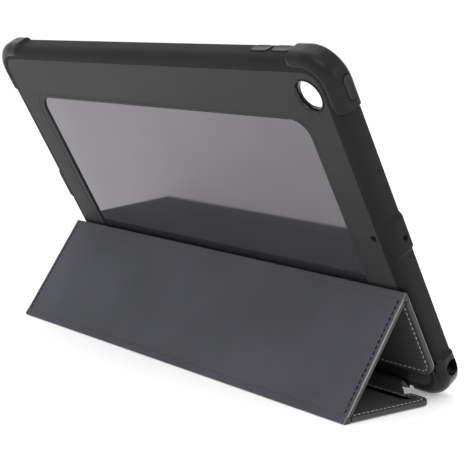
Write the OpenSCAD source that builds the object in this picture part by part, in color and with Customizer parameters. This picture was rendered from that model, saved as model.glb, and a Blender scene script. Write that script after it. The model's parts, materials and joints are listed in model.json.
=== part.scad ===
// Folding tablet case, standing on its table in the tilted viewing position.
// X runs along the long side, the screen opening faces -Y and the folded cover stands at +Y.
// The case is drawn lying on its back (x along, y up the case, z from back to screen),
// then tilted. The cover is drawn panel by panel, flat along +Y from its own fold line.

/* [Tablet bay] */
// Long side of the bay
bay_l = 251; // [240:0.5:262]
// Short side of the bay
bay_w = 174.6; // [165:0.5:185]
// Depth from the back plate to the screen lip
bay_t = 7.7; // [6:0.1:9]

/* [Bumper frame] */
// Wall beyond the bay on the short sides
wall_x = 3; // [2.5:0.1:4]
// Wall beyond the bay on the long sides
wall_y = 4; // [3:0.1:5]
// Thickness of the back border
back_t = 3; // [2.6:0.1:4]
// Thickness of the lip over the tablet's face
lip_t = 1.8; // [1.2:0.1:2.4]
// Reach of the lip over the tablet's face
lip_reach = 2.3; // [1.5:0.1:3.5]
// Corner radius seen from the back
corner_r = 15; // [12:0.5:18]
// Rounding of the back edges
back_r = 5; // [4:0.1:5.5]
// Rounding of the screen side edges
front_r = 2.5; // [1.5:0.1:3]

/* [Corner bumpers] */
// How far the bumpers stand out at the sides
proud = 1.6; // [1:0.1:2]
// How far the bumpers stand out at the back
proud_back = 0.3; // [0.1:0.1:0.6]
// Depth of the bumpers' seat in the frame
seat_t = 1.2; // [0.8:0.1:1.6]
// How far the bumpers lap over the back and over the screen lip
bumper_lap = 3.4; // [2.6:0.1:5]
// Reach of a bumper along each side
bumper_reach = 23.4; // [20:0.2:26]
// Reach of the top bumpers down the short sides
bumper_drop = 27.8; // [24:0.2:34]
// Length of a side boss
boss_l = 21.5; // [16:0.5:30]

/* [Window and camera] */
// Window opening along the case
window_l = 209; // [180:1:216]
// Window opening up the case
window_h = 122; // [100:1:130]
// Corner radius of the window opening
window_r = 9; // [5:0.5:14]
// Overlap of the frame on the window plate
window_lap = 4; // [2:0.5:6]
// Window plate thickness
window_t = 1.6; // [1.2:0.1:1.7]
// Camera opening's centre, from the middle of the case
camera_x = -113; // [-114:0.5:-110]
// Camera opening's centre, up the case
camera_y = 165; // [162:0.5:167]
// Radius of the hole for the camera surround
camera_r = 8; // [6:0.2:9]

/* [Buttons] */
// Button length
button_l = 11.4; // [9:0.2:12]
// Button width
button_w = 5; // [4:0.1:6]
// Inward travel of a button
button_travel = 0.6; // [0.3:0.1:1]
// Height of the buttons above the back
button_z = 8; // [7:0.1:8.5]

/* [Cover] */
// Length of the cover along its folds
cover_l = 258.7; // [240:0.1:262]
// Fold to fold length of the base panel
base_pitch = 54.4; // [50:0.1:60]
// Fold to fold length of the middle panel
middle_pitch = 61.1; // [55:0.1:65]
// Length of the end panel from its fold
end_length = 46.4; // [40:0.1:52]
// Leather skin thickness
leather_t = 0.8; // [0.6:0.1:1]
// Stiffener board thickness
board_t = 1.2; // [0.8:0.1:1.4]
// Microfibre lining thickness
lining_t = 0.6; // [0.4:0.1:0.8]
// Rounding of the free corners
panel_r = 7; // [4:0.5:10]
// Stitched margin round the boards
margin = 6; // [4:0.5:8]
// Thickness of the spine strip
spine_t = 1.2; // [1:0.1:1.4]
// Length of the spine strip along its seam
spine_l = 209; // [180:1:210]

/* [Stand position] */
// Tilt of the case above the table
tilt = 57.55; // [55:0.05:60]
// Slope of the middle panel above the table
middle_slope = 57.06; // [55:0.01:60]

/* [Hidden] */

frame_l = bay_l + 2 * wall_x;
frame_w = bay_w + 2 * wall_y;
frame_t = back_t + bay_t + lip_t;
edge_fn = 32;
round_fn = 64;
cut = 1;
tiny = 0.01;
fit_gap = 0.15;
slide_gap = 0.3;

// The bumpers' back edge radius keeps them parallel to the frame's edge.
bumper_r = back_r + proud_back;
bumper_front_extra = 0.5;
bumper_front_r = front_r + bumper_front_extra;

// The two bottom bumpers touch the table, which puts the case's back edge at case_z.
case_z = bumper_r - (bumper_r - proud) * sin(tilt) - (bumper_r - proud_back) * cos(tilt);

// The part's middle lies halfway between the bumpers' foremost and rearmost points.
front_y = (bumper_front_r - proud) * cos(tilt) - (frame_t - bumper_front_r) * sin(tilt)
    - bumper_front_r;
rear_y = (frame_w + proud - bumper_r) * cos(tilt) - (bumper_r - proud_back) * sin(tilt)
    + bumper_r;
case_y = -(front_y + rear_y) / 2;

// A point of the case, given up the case and from back to screen, as world y and z.
function on_case(v, w) = [
    case_y + v * cos(tilt) - w * sin(tilt),
    case_z + v * sin(tilt) + w * cos(tilt)];

// Panel thickness and its half: every fold axis lies in the middle of its panels.
panel_t = leather_t + board_t + lining_t;
half_t = panel_t / 2;

// Seam fold: beside the rounded back edge of the case.
seam_angle = 33;
seam_clear = 1.1;
seam_reach = back_r + seam_clear;
seam_v = back_r - seam_reach * sin(seam_angle);
seam_w = back_r - seam_reach * cos(seam_angle);
seam = on_case(seam_v, seam_w);

// Closed, the rear fold lies here, in front of the screen lip and below the frame.
closed_gap = 0.45;
closed_drop = 2.6;
closed_rear = on_case(-closed_drop, frame_t + closed_gap + half_t);
spine_chord = norm(closed_rear - seam);

// The same chord, laid down to the base panel's rear fold on the table.
rear = [seam[0] + sqrt(pow(spine_chord, 2) - pow(half_t - seam[1], 2)), half_t];
knee_angle = 40;
knee_reach = 6;
knee = seam + knee_reach * [cos(knee_angle), sin(knee_angle)];

// Foot and ridge folds of the stand.
foot = rear + [base_pitch, 0];
middle_angle = 180 - middle_slope;
ridge = foot + middle_pitch * [cos(middle_angle), sin(middle_angle)];
end_angle = 180 + tilt;

// Clear distance from each fold axis to the panels beside it: the leather lies inside
// the stand's sharp folds, so it stops further back than the lining.
bead_gap = half_t + slide_gap;
rear_extra = 0.2;
rear_gap = bead_gap + rear_extra;

// The base panel's rear corners reach past the rear fold, beside the spine.
ear_l = 4.6;
ear_x = 115.5;
ear_r = 2.5;
foot_gap = 3;
ridge_gap = 2.6;

// Places the case's own axes: x along, y up the case, z from back to screen.
module on_stand() {
    translate([0, case_y, case_z])
        rotate([tilt, 0, 0])
            children();
}

// Puts a panel drawn flat along +Y on its fold line, at an angle above the table.
module at_fold(p, angle) {
    translate([0, p[0], p[1]])
        rotate([angle, 0, 0])
            children();
}

// A flat rounded rectangle with true arcs, its middle at the origin.
module round_plate(l, w, r, t) {
    linear_extrude(height = t)
        union() {
            square([l - 2 * r, w], center = true);
            square([l, w - 2 * r], center = true);
            for (sx = [-1, 1], sy = [-1, 1])
                translate([sx * (l / 2 - r), sy * (w / 2 - r)])
                    circle(r, $fn = round_fn);
        }
}

// A panel outline from y0 to y1 whose far corners, near corners or both are rounded.
// With an ear length, both near corners reach that much further out.
module panel_plate(l, y0, y1, r_near, r_far, t, ear = 0) {
    linear_extrude(height = t)
        union() {
            if (ear > 0)
                for (sx = [-1, 1])
                    hull() {
                        translate([sx * (l / 2 - r_near), y0 - ear + r_near])
                            circle(r_near, $fn = round_fn);
                        translate([sx * (ear_x + ear_r), y0 - ear + ear_r])
                            circle(ear_r, $fn = round_fn);
                        translate([sx > 0 ? ear_x : -l / 2, y0 + r_near])
                            square([l / 2 - ear_x, tiny]);
                    }
            translate([-l / 2, y0 + r_near])
                square([l, y1 - y0 - r_near - r_far]);
            if (r_near > 0)
                translate([-l / 2 + r_near, y0])
                    square([l - 2 * r_near, r_near + tiny]);
            if (r_far > 0)
                translate([-l / 2 + r_far, y1 - r_far - tiny])
                    square([l - 2 * r_far, r_far + tiny]);
            for (sx = [-1, 1]) {
                if (r_near > 0)
                    translate([sx * (l / 2 - r_near), y0 + r_near])
                        circle(r_near, $fn = round_fn);
                if (r_far > 0)
                    translate([sx * (l / 2 - r_far), y1 - r_far])
                        circle(r_far, $fn = round_fn);
            }
        }
}

// Outline of the rounded wall section, turned round a corner of the case.
function wall_profile(r, t, back, front) = concat(
    [[0, 0]],
    [for (a = [270:15:360]) [r - back + back * cos(a), back + back * sin(a)]],
    [for (a = [0:15:90]) [r - front + front * cos(a), t - front + front * sin(a)]],
    [[0, t]]);

// The case's rounded outer body, grown by side and back.
module rounded_body(side, back, r_back, r_front) {
    r = corner_r + side;
    hull()
        for (sx = [-1, 1], sy = [-1, 1])
            translate([sx * (frame_l / 2 - corner_r), frame_w / 2 + sy * (frame_w / 2 - corner_r), -back])
                rotate_extrude($fn = edge_fn)
                    polygon(wall_profile(r, frame_t + back, r_back, r_front));
}

// The block that holds one corner of the case.
module corner_zone(sx, sy) {
    past = proud + cut;
    drop = sy > 0 ? bumper_drop : bumper_reach;
    x0 = sx > 0 ? frame_l / 2 - bumper_reach : -frame_l / 2 - past;
    y0 = sy > 0 ? frame_w - drop : -past;
    translate([x0, y0, -proud_back - cut])
        cube([bumper_reach + past, drop + past, frame_t + proud_back + 2 * cut]);
}

// What a bumper or boss leaves free: the wall behind its seat, and the flat back and lip.
module bumper_core() {
    translate([0, 0, seat_t])
        rounded_body(-seat_t, 0, back_r - seat_t, tiny);
    translate([0, frame_w / 2, -proud_back - cut])
        round_plate(frame_l - 2 * bumper_lap, frame_w - 2 * bumper_lap,
            corner_r - bumper_lap, frame_t + proud_back + 2 * cut);
}

// The block that holds the boss at the middle of one short side.
module boss_zone(sx, l) {
    x0 = sx > 0 ? frame_l / 2 - seat_t : -frame_l / 2 - proud - cut;
    translate([x0, frame_w / 2 - l / 2, -cut])
        cube([seat_t + proud + cut, l, frame_t + 2 * cut]);
}

// Every cut that the tablet, its sockets and its camera need, through the whole case.
headphone_r = 4;
headphone_y = 14.8;
microphone_r = 1;
port_l = 14;
port_h = 6.4;
speaker_l = 26;
speaker_h = 3.4;
speaker_y = 36;
socket_z = 7;
back_mic_x = -119.2;
back_mic_y = 93;
boss_mic_offset = -1.8;
hole_l = 16;
mic_fn = 24;

module side_slot(sx, y, z, l, h) {
    r = h / 2;
    for (sy = [-1, 1])
        translate([sx * frame_l / 2, y + sy * (l / 2 - r), z])
            rotate([0, 90, 0])
                cylinder(h = hole_l, r = r, center = true, $fn = round_fn);
    translate([sx * frame_l / 2, y, z])
        cube([hole_l, l - h, h], center = true);
}

module socket_cuts() {
    translate([-frame_l / 2, headphone_y, button_z])
        rotate([0, 90, 0])
            cylinder(h = hole_l, r = headphone_r, center = true, $fn = round_fn);
    side_slot(1, frame_w / 2, socket_z, port_l, port_h);
    for (s = [-1, 1])
        side_slot(1, frame_w / 2 + s * speaker_y, socket_z, speaker_l, speaker_h);
    translate([-frame_l / 2, frame_w / 2 + boss_mic_offset, button_z])
        rotate([0, 90, 0])
            cylinder(h = hole_l, r = microphone_r, center = true, $fn = mic_fn);
}

module tablet_bay() {
    translate([0, frame_w / 2, back_t])
        round_plate(bay_l, bay_w, corner_r - wall_x, bay_t);
    translate([0, frame_w / 2, back_t])
        round_plate(bay_l - 2 * lip_reach, bay_w - 2 * lip_reach,
            corner_r - wall_x - lip_reach, bay_t + lip_t + cut);
}

// Buttons: middle along or up the side, and whether it is on the short side.
volume_x = [-85.9, -99];
power_y = 165.5;

module power_place() {
    translate([-frame_l / 2, power_y, button_z])
        rotate([0, -90, 0])
            rotate([0, 0, 90])
                children();
}

module volume_place(x) {
    translate([x, frame_w, button_z])
        rotate([-90, 0, 0])
            children();
}

// A button cap with round ends: z points outwards, its top stands a little proud.
module button_body(l, w, depth, rise, grow) {
    r = w / 2 + grow;
    translate([0, 0, -depth])
        union() {
            for (s = [-1, 1])
                translate([s * (l / 2 - w / 2), 0, 0])
                    cylinder(h = depth + rise, r = r, $fn = round_fn);
            translate([-(l - w) / 2, -r, 0])
                cube([l - w, 2 * r, depth + rise]);
        }
}

// The groove round each button, which leaves the web that it flexes on.
slot_rise = 3;
module button_slot() {
    button_body(button_l, button_w, wall_y + cut, slot_rise, slide_gap);
}

// The whole frame, lying on its back, before the screen lip is parted from it.
module frame_moulding() {
    difference() {
        rounded_body(0, 0, back_r, front_r);
        difference() {
            union() {
                for (sx = [-1, 1], sy = [-1, 1])
                    corner_zone(sx, sy);
                for (sx = [-1, 1])
                    boss_zone(sx, boss_l);
            }
            bumper_core();
        }
        tablet_bay();
        seam_groove();
        window_cuts();
        translate([camera_x, camera_y, -cut])
            cylinder(h = back_t + 2 * cut, r = camera_r + fit_gap, $fn = round_fn);
        socket_cuts();
        power_place() button_slot();
        for (x = volume_x)
            volume_place(x) button_slot();
        translate([back_mic_x, back_mic_y, -cut])
            cylinder(h = back_t + 2 * cut, r = microphone_r, $fn = mic_fn);
    }
}

// Everything on the screen side of the tablet's face.
module layer_zone(z0, z1) {
    translate([-frame_l / 2 - cut, -cut, z0])
        cube([frame_l + 2 * cut, frame_w + 2 * cut, z1 - z0]);
}

// Back of the frame, under the tablet.
module bumper_frame() {
    color([0.16, 0.16, 0.165])
        on_stand()
            difference() {
                frame_moulding();
                layer_zone(back_t, frame_t + cut);
            }
}

// Walls of the frame, round the tablet.
module side_walls() {
    color([0.16, 0.16, 0.165])
        on_stand()
            intersection() {
                frame_moulding();
                layer_zone(back_t, back_t + bay_t);
            }
}

// Lip of the frame, over the tablet's edge.
module screen_lip() {
    color([0.16, 0.16, 0.165])
        on_stand()
            intersection() {
                frame_moulding();
                layer_zone(back_t + bay_t, frame_t + cut);
            }
}

// The window's opening in the back border and the pocket that its plate sits in.
window_z = 1;
module window_cuts() {
    translate([0, frame_w / 2, -cut])
        round_plate(window_l, window_h, window_r, back_t + cut);
    translate([0, frame_w / 2, window_z])
        round_plate(window_l + 2 * window_lap, window_h + 2 * window_lap,
            window_r + window_lap, back_t);
}

module back_window() {
    color([0.45, 0.44, 0.46])
        on_stand()
            translate([0, frame_w / 2, window_z])
                round_plate(window_l + 2 * window_lap - 2 * fit_gap,
                    window_h + 2 * window_lap - 2 * fit_gap,
                    window_r + window_lap - fit_gap, window_t);
}

// Bevelled ring that surrounds the tablet's camera.
ring_wall = 1.3;
ring_rim = 0.3;
ring_proud = 0.5;
ring_bevel_end = 1.4;
module camera_surround() {
    color([0.1, 0.1, 0.1])
        on_stand()
            translate([camera_x, camera_y, 0])
                rotate_extrude($fn = round_fn)
                    polygon([
                        [camera_r - ring_wall, back_t],
                        [camera_r - ring_wall, ring_bevel_end],
                        [camera_r - ring_rim, -ring_proud],
                        [camera_r, -ring_proud],
                        [camera_r, back_t]]);
}

module corner_bumper(sx, sy) {
    color([0.22, 0.21, 0.21])
        on_stand()
            difference() {
                intersection() {
                    rounded_body(proud, proud_back, bumper_r, bumper_front_r);
                    corner_zone(sx, sy);
                }
                bumper_core();
                socket_cuts();
                power_place() button_slot();
            }
}

module corner_bumper_top_near() { corner_bumper(-1, 1); }
module corner_bumper_top_far() { corner_bumper(1, 1); }
module corner_bumper_bottom_near() { corner_bumper(-1, -1); }
module corner_bumper_bottom_far() { corner_bumper(1, -1); }

// Boss at the middle of a short side, ramped at both ends.
module side_boss(sx) {
    ramp = 4;
    color([0.22, 0.21, 0.21])
        on_stand()
            difference() {
                intersection() {
                    rounded_body(proud, 0, back_r, bumper_front_r);
                    translate([sx * (frame_l / 2 - seat_t), frame_w / 2, -cut])
                        linear_extrude(height = frame_t + 2 * cut)
                            polygon([
                                [0, -boss_l / 2],
                                [sx * seat_t, -boss_l / 2],
                                [sx * (seat_t + proud), -boss_l / 2 + ramp],
                                [sx * (seat_t + proud), boss_l / 2 - ramp],
                                [sx * seat_t, boss_l / 2],
                                [0, boss_l / 2]]);
                }
                bumper_core();
                socket_cuts();
            }
}

module side_boss_near() { side_boss(-1); }
module side_boss_far() { side_boss(1); }

volume_rise = 0.5;
power_rise = proud + 0.2;
module power_button() {
    color([0.13, 0.13, 0.13])
        on_stand()
            power_place()
                button_body(button_l, button_w, wall_x - button_travel, power_rise, 0);
}

module volume_button(x) {
    color([0.13, 0.13, 0.13])
        on_stand()
            volume_place(x)
                button_body(button_l, button_w, wall_y - button_travel, volume_rise, 0);
}

module volume_up_button() { volume_button(volume_x[0]); }
module volume_down_button() { volume_button(volume_x[1]); }

// Tongue of the seam, let into a groove in the case's rounded back edge.
seam_tongue = 2.7;
tongue_thinner = 0.3;
tongue_t = spine_t - tongue_thinner;
tongue_shorter = 1;
module seam_blade(l, depth, t) {
    translate([0, back_r, back_r])
        rotate([-seam_angle, 0, 0])
            translate([-l / 2, -t / 2, -seam_reach])
                cube([l, t, depth]);
}

module seam_groove() {
    seam_blade(spine_l + 2 * fit_gap, seam_tongue + fit_gap, tongue_t + 2 * fit_gap);
}

// Edge of the spine strip that is bonded into the case, with the seam's rounded fold.
module seam_strip() {
    color([0.1, 0.1, 0.11])
        union() {
            on_stand()
                seam_blade(spine_l - tongue_shorter, seam_tongue, tongue_t);
            translate([0, seam[0], seam[1]])
                rotate([0, 90, 0])
                    cylinder(h = spine_l, r = spine_t / 2, center = true, $fn = round_fn);
        }
}

// Bar of the spine strip between two points of its section.
module spine_bar(a, b, l) {
    hull()
        for (p = [a, b])
            translate([0, p[0], p[1]])
                rotate([0, 90, 0])
                    cylinder(h = l, r = spine_t / 2, center = true, $fn = 16);
}

spine_extra = 0.1;
module spine_strip() {
    up = (knee - seam) / norm(knee - seam);
    down = (rear - knee) / norm(rear - knee);
    start = seam + up * (spine_t + slide_gap + spine_extra);
    stop = rear - down * (bead_gap + spine_t / 2);
    color([0.1, 0.1, 0.11])
        union() {
            spine_bar(start, knee, spine_l);
            spine_bar(knee, stop, spine_l);
        }
}

// Rounded fold of the cover along one fold line.
module fold_bead(p, l) {
    color([0.12, 0.12, 0.13])
        translate([0, p[0], p[1]])
            rotate([0, 90, 0])
                cylinder(h = l, r = half_t, center = true, $fn = round_fn);
}

rear_fold_longer = 18;
module spine_fold() { fold_bead(rear, spine_l + rear_fold_longer); }
module foot_fold() { fold_bead(foot, cover_l); }
module ridge_fold() { fold_bead(ridge, cover_l); }

// Layers of a panel: lining on the outer side, board in the middle, leather inside.
// Each is drawn between y0 and y1 with the leather up.
module leather_skin(y0, y1, r0, r1, ear = 0) {
    color([0.14, 0.14, 0.145])
        difference() {
            translate([0, 0, -half_t + lining_t])
                panel_plate(cover_l, y0, y1, r0, r1, board_t + leather_t, ear);
            translate([0, 0, -half_t + lining_t - cut])
                board_pocket(y0, y1, board_t + cut, 0);
        }
}

module board_pocket(y0, y1, t, shrink) {
    m = margin + shrink;
    translate([-cover_l / 2 + m, y0 + m, 0])
        cube([cover_l - 2 * m, y1 - y0 - 2 * m, t]);
}

module stiffener(y0, y1) {
    color([0.55, 0.5, 0.42])
        translate([0, 0, -half_t + lining_t])
            board_pocket(y0, y1, board_t, fit_gap);
}

module lining(y0, y1, r0, r1, ear = 0) {
    color([0.3, 0.305, 0.32])
        translate([0, 0, -half_t])
            panel_plate(cover_l, y0, y1, r0, r1, lining_t, ear);
}

// Row of disc magnets let into a board.
magnet_r = 4;
magnet_t = 1;
magnet_count = 6;
magnet_pitch = 38;
module magnet_row(y, r, t) {
    for (i = [0:magnet_count - 1])
        translate([(i - (magnet_count - 1) / 2) * magnet_pitch, y, -half_t + lining_t])
            cylinder(h = t, r = r, $fn = round_fn);
}

base_magnet_y = 16;
end_magnet_inset = 13;
end_magnet_y = end_length - end_magnet_inset;

module base_place() { at_fold(rear, 0) children(); }
module middle_place() { at_fold(foot, middle_angle) children(); }
module end_place() { at_fold(ridge, end_angle) children(); }

module base_leather() {
    base_place() leather_skin(rear_gap, base_pitch - foot_gap, panel_r, 0, ear_l);
}

module base_board() {
    base_place()
        difference() {
            stiffener(rear_gap, base_pitch - foot_gap);
            magnet_row(base_magnet_y, magnet_r + fit_gap, magnet_t + fit_gap);
        }
}

module base_lining() {
    base_place() lining(rear_gap, base_pitch - bead_gap, panel_r, 0, ear_l);
}

module base_magnets() {
    color([0.7, 0.7, 0.72])
        base_place() magnet_row(base_magnet_y, magnet_r, magnet_t);
}

module middle_leather() {
    middle_place() leather_skin(foot_gap, middle_pitch - ridge_gap, 0, 0);
}

module middle_board() {
    middle_place() stiffener(foot_gap, middle_pitch - ridge_gap);
}

module middle_lining() {
    middle_place() lining(bead_gap, middle_pitch - bead_gap, 0, 0);
}

module end_leather() {
    end_place() leather_skin(ridge_gap, end_length, 0, panel_r);
}

module end_board() {
    end_place()
        difference() {
            stiffener(ridge_gap, end_length);
            magnet_row(end_magnet_y, magnet_r + fit_gap, magnet_t + fit_gap);
        }
}

module end_lining() {
    end_place() lining(bead_gap, end_length, 0, panel_r);
}

module end_magnets() {
    color([0.7, 0.7, 0.72])
        end_place() magnet_row(end_magnet_y, magnet_r, magnet_t);
}

bumper_frame();
side_walls();
screen_lip();
back_window();
camera_surround();
corner_bumper_top_near();
corner_bumper_top_far();
corner_bumper_bottom_near();
corner_bumper_bottom_far();
side_boss_near();
side_boss_far();
power_button();
volume_up_button();
volume_down_button();
seam_strip();
spine_strip();
spine_fold();
base_leather();
base_board();
base_lining();
base_magnets();
foot_fold();
middle_leather();
middle_board();
middle_lining();
ridge_fold();
end_leather();
end_board();
end_lining();
end_magnets();
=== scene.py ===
import json
import math
import bmesh
import bpy
from mathutils import Matrix, Vector


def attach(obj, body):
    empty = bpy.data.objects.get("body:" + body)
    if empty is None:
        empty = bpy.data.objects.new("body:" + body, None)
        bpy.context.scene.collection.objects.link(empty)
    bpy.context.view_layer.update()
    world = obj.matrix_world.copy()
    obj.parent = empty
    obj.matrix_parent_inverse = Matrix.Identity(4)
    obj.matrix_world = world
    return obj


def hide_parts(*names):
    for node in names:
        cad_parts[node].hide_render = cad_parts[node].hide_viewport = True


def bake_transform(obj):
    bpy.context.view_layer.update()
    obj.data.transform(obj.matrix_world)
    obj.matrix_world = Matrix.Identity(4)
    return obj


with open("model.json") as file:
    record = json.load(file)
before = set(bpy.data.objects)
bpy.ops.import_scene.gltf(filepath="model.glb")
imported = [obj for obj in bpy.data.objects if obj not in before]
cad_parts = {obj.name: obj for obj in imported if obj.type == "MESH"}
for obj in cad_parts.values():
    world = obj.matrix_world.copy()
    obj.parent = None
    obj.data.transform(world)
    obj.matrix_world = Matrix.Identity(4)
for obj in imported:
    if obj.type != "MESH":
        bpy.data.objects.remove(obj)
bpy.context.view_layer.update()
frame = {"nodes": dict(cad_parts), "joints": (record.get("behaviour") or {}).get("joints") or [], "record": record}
scene = bpy.context.scene
mm = 0.001
joints = {j["name"]: j for j in frame["joints"]}
mounts = {m["name"]: m for m in frame["record"]["mounts"]}
print("frame loaded:", len(frame["nodes"]), "nodes")

# the case's own axes and the fold lines, read from the frame
caseUp = -Vector(joints["volume_up_press"]["axis"])
caseOut = Vector((0, -caseUp.z, caseUp.y))   # from the back towards the screen
case = dict(length=257.0, height=182.6, depth=12.5, corner=15.0, backRound=5.0, frontRound=2.5,
            bayLength=251.0, bayHeight=174.6, back=3.0, lip=1.8, lipReach=2.3, sideZone=6.3)
caseFoot = (Vector(mounts["tablet_seat"]["pos_m"])
            - caseUp * case["height"] / 2 * mm - caseOut * case["back"] * mm)
seamAxis = Vector(joints["seam_hinge"]["pos_m"])
rearAxis = Vector(joints["rear_hinge"]["pos_m"])
footAxis = Vector(joints["foot_hinge"]["pos_m"])
ridgeAxis = Vector(joints["ridge_hinge"]["pos_m"])


def onCase(x, v, w):   # along, up the back, from back to screen, in mm
    return caseFoot + Vector((x * mm, 0, 0)) + caseUp * (v * mm) + caseOut * (w * mm)


def onFold(axis, angle, x, d, n):   # along the fold, away from it, towards the leather side
    c, s = math.cos(angle), math.sin(angle)
    return axis + Vector((x, d * c - n * s, d * s + n * c)) * mm


def smooth(t):
    t = min(max(t, 0.0), 1.0)
    return t * t * (3 - 2 * t)


# finishes
def newFinish(name, color, rough, **sockets):
    mat = bpy.data.materials.new(name)
    mat.use_nodes = True
    nodes, links = mat.node_tree.nodes, mat.node_tree.links
    shader = nodes["Principled BSDF"]
    shader.inputs["Base Color"].default_value = (*color, 1)
    shader.inputs["Roughness"].default_value = rough
    for key, value in sockets.items():
        shader.inputs[key.replace("_", " ")].default_value = value
    mat.diffuse_color = (*color, 1)
    place = nodes.new("ShaderNodeTexCoord").outputs["Object"]
    return mat, nodes, links, shader, place


def noiseAt(nodes, links, place, scale, detail=3.0, rough=0.55):
    n = nodes.new("ShaderNodeTexNoise")
    n.inputs["Scale"].default_value = scale
    n.inputs["Detail"].default_value = detail
    n.inputs["Roughness"].default_value = rough
    links.new(place, n.inputs["Vector"])
    return n.outputs["Fac"]


def cellsAt(nodes, links, place, scale, feature="F1"):
    v = nodes.new("ShaderNodeTexVoronoi")
    v.feature = feature
    v.inputs["Scale"].default_value = scale
    links.new(place, v.inputs["Vector"])
    return v.outputs["Distance"]


def blendColor(nodes, links, fac, low, high, start=0.3, end=0.7):
    r = nodes.new("ShaderNodeValToRGB")
    r.color_ramp.elements[0].position, r.color_ramp.elements[1].position = start, end
    r.color_ramp.elements[0].color = (*low, 1)
    r.color_ramp.elements[1].color = (*high, 1)
    links.new(fac, r.inputs["Fac"])
    return r.outputs["Color"]


def span(nodes, links, fac, low, high):
    m = nodes.new("ShaderNodeMapRange")
    m.inputs["To Min"].default_value, m.inputs["To Max"].default_value = low, high
    links.new(fac, m.inputs["Value"])
    return m.outputs["Result"]


def addBump(nodes, links, shader, heights):   # heights: (socket, strength, depth in mm)
    last = None
    for height, strength, depth in heights:
        b = nodes.new("ShaderNodeBump")
        b.inputs["Strength"].default_value = strength
        b.inputs["Distance"].default_value = depth * mm
        links.new(height, b.inputs["Height"])
        if last:
            links.new(last, b.inputs["Normal"])
        last = b.outputs["Normal"]
    links.new(last, shader.inputs["Normal"])


def mouldedRubber(name, dark, light, rough, gloss, grain=2600, **sockets):
    mat, nodes, links, shader, place = newFinish(name, light, rough, **sockets)
    cloud = noiseAt(nodes, links, place, 22, 4)
    fine = noiseAt(nodes, links, place, grain, 2)
    links.new(blendColor(nodes, links, cloud, dark, light), shader.inputs["Base Color"])
    links.new(span(nodes, links, cloud, rough - gloss, rough + gloss), shader.inputs["Roughness"])
    addBump(nodes, links, shader, [(fine, 0.35, 0.05), (noiseAt(nodes, links, place, 260, 3), 0.12, 0.06)])
    return mat


def wovenLining(name, dark, light):
    mat, nodes, links, shader, place = newFinish(name, light, 0.86, Specular_IOR_Level=0.3, Sheen_Weight=0.12,
                                                 Sheen_Roughness=0.45)
    shader.inputs["Sheen Tint"].default_value = (0.75, 0.8, 0.9, 1)
    patches = noiseAt(nodes, links, place, 14, 5, 0.6)
    fibre = noiseAt(nodes, links, place, 3200, 3, 0.7)
    mix = nodes.new("ShaderNodeMath")
    mix.operation = "MULTIPLY_ADD"
    links.new(fibre, mix.inputs[0])
    mix.inputs[1].default_value = 0.45
    links.new(patches, mix.inputs[2])
    links.new(blendColor(nodes, links, mix.outputs[0], dark, light, 0.35, 1.0), shader.inputs["Base Color"])
    addBump(nodes, links, shader, [(fibre, 0.5, 0.08), (noiseAt(nodes, links, place, 520, 3), 0.2, 0.08)])
    return mat


def grainedLeather(name, dark, light, rough):
    mat, nodes, links, shader, place = newFinish(name, light, rough, Specular_IOR_Level=0.4)
    tone = noiseAt(nodes, links, place, 30, 4)
    pores = cellsAt(nodes, links, place, 1150, "F1")
    creases = noiseAt(nodes, links, place, 380, 4, 0.6)
    links.new(blendColor(nodes, links, tone, dark, light), shader.inputs["Base Color"])
    links.new(span(nodes, links, creases, rough - 0.1, rough + 0.12), shader.inputs["Roughness"])
    addBump(nodes, links, shader, [(pores, 0.35, 0.1), (creases, 0.25, 0.12)])
    return mat


def smokedWindow(name):
    mat, nodes, links, shader, place = newFinish(name, (0.215, 0.207, 0.218), 0.05, Metallic=0.85)
    haze = noiseAt(nodes, links, place, 18, 3)
    tone = blendColor(nodes, links, haze, (0.17, 0.163, 0.172), (0.188, 0.18, 0.19))
    links.new(tone, shader.inputs["Base Color"])
    links.new(span(nodes, links, noiseAt(nodes, links, place, 40, 4), 0.04, 0.07), shader.inputs["Roughness"])
    addBump(nodes, links, shader, [(noiseAt(nodes, links, place, 1500, 2), 0.06, 0.02)])
    return mat


def twistedThread(name, dark, light, gloss, sheen):
    mat, nodes, links, shader, place = newFinish(name, light, 0.65, Specular_IOR_Level=gloss,
                                                 Sheen_Weight=sheen)
    w = nodes.new("ShaderNodeTexWave")
    w.inputs["Scale"].default_value = 900
    w.inputs["Distortion"].default_value = 2
    links.new(place, w.inputs["Vector"])
    links.new(blendColor(nodes, links, w.outputs["Fac"], dark, light), shader.inputs["Base Color"])
    addBump(nodes, links, shader, [(w.outputs["Fac"], 0.5, 0.08)])
    return mat


def brushedDisc(name):
    mat, nodes, links, shader, place = newFinish(name, (0.6, 0.6, 0.62), 0.3, Metallic=1.0)
    rough = noiseAt(nodes, links, place, 900, 4)
    links.new(span(nodes, links, rough, 0.22, 0.42), shader.inputs["Roughness"])
    addBump(nodes, links, shader, [(rough, 0.2, 0.03)])
    return mat


def greyBoard(name):
    mat, nodes, links, shader, place = newFinish(name, (0.28, 0.24, 0.17), 0.9)
    fibre = noiseAt(nodes, links, place, 700, 5, 0.7)
    tone = blendColor(nodes, links, fibre, (0.2, 0.17, 0.12), (0.34, 0.29, 0.21))
    links.new(tone, shader.inputs["Base Color"])
    addBump(nodes, links, shader, [(fibre, 0.5, 0.1)])
    return mat


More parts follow.
